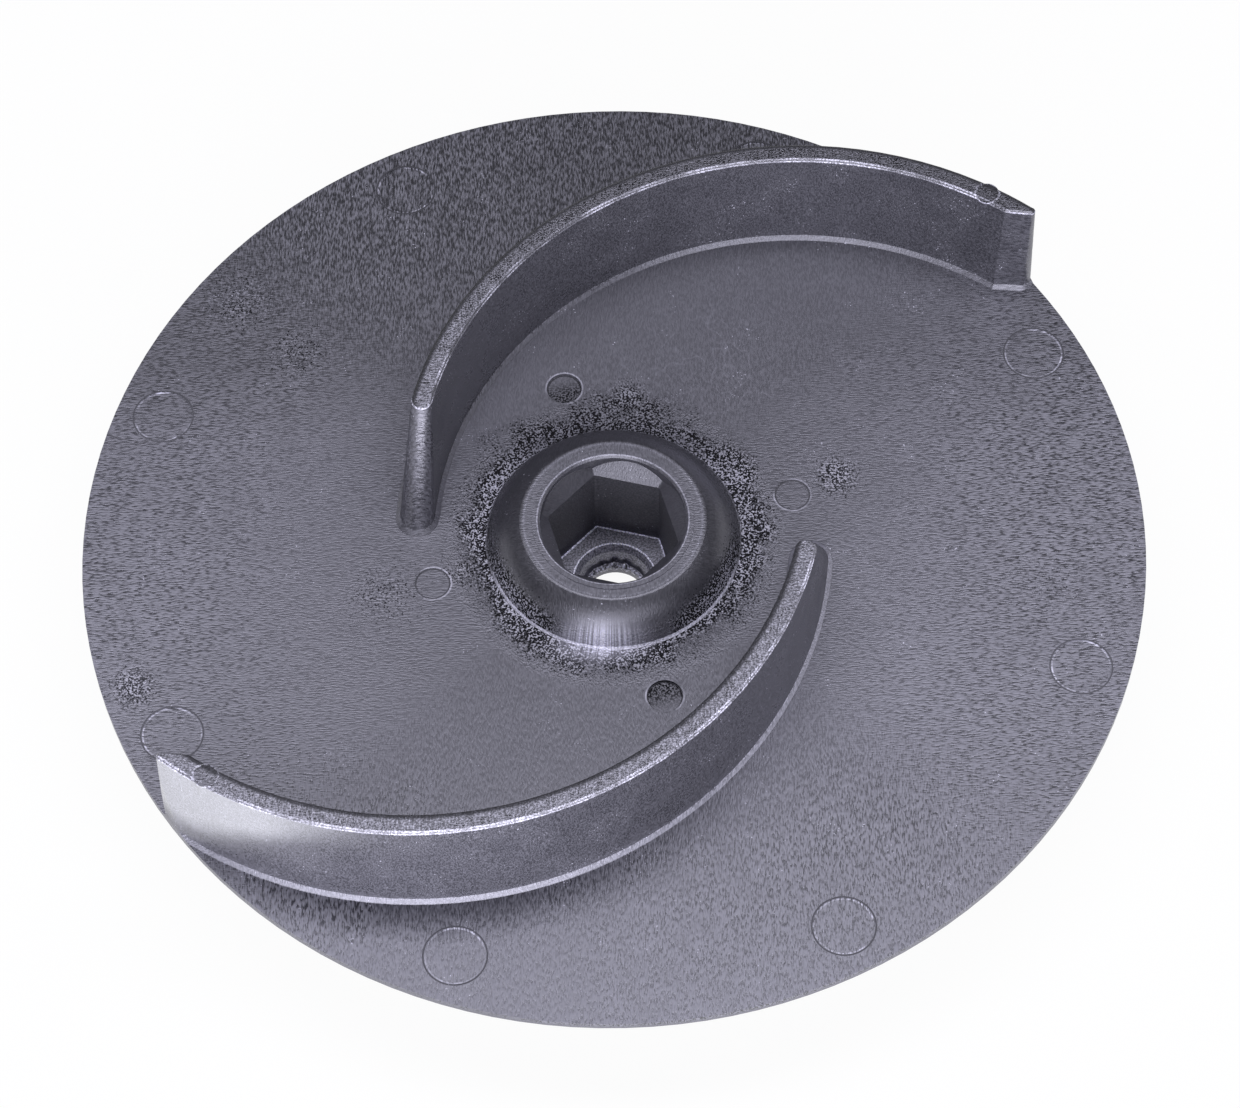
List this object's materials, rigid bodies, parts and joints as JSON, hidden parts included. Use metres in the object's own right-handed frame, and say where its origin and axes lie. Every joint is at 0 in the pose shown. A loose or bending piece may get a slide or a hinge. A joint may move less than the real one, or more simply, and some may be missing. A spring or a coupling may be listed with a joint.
{
  "type": "pump impeller",
  "caption": "Semi-open centrifugal pump impeller: a thin moulded disc with swept vanes, a domed front hub with a hexagon socket and a stepped through bore.",
  "frame": {"origin": "centre of the flat rear end of the hub boss, on the shaft axis", "axes": "+Z along the shaft axis, out of the vaned front face; one vane sweeps through +Y and the other through -Y"},
  "size_m": [0.143, 0.143, 0.033],
  "materials": {
    "impeller": "as-moulded glass-filled thermoplastic, satin with fine fibre speckle"
  },
  "bodies": {
    "root": {"impeller": "impeller"}
  },
  "joints": []
}
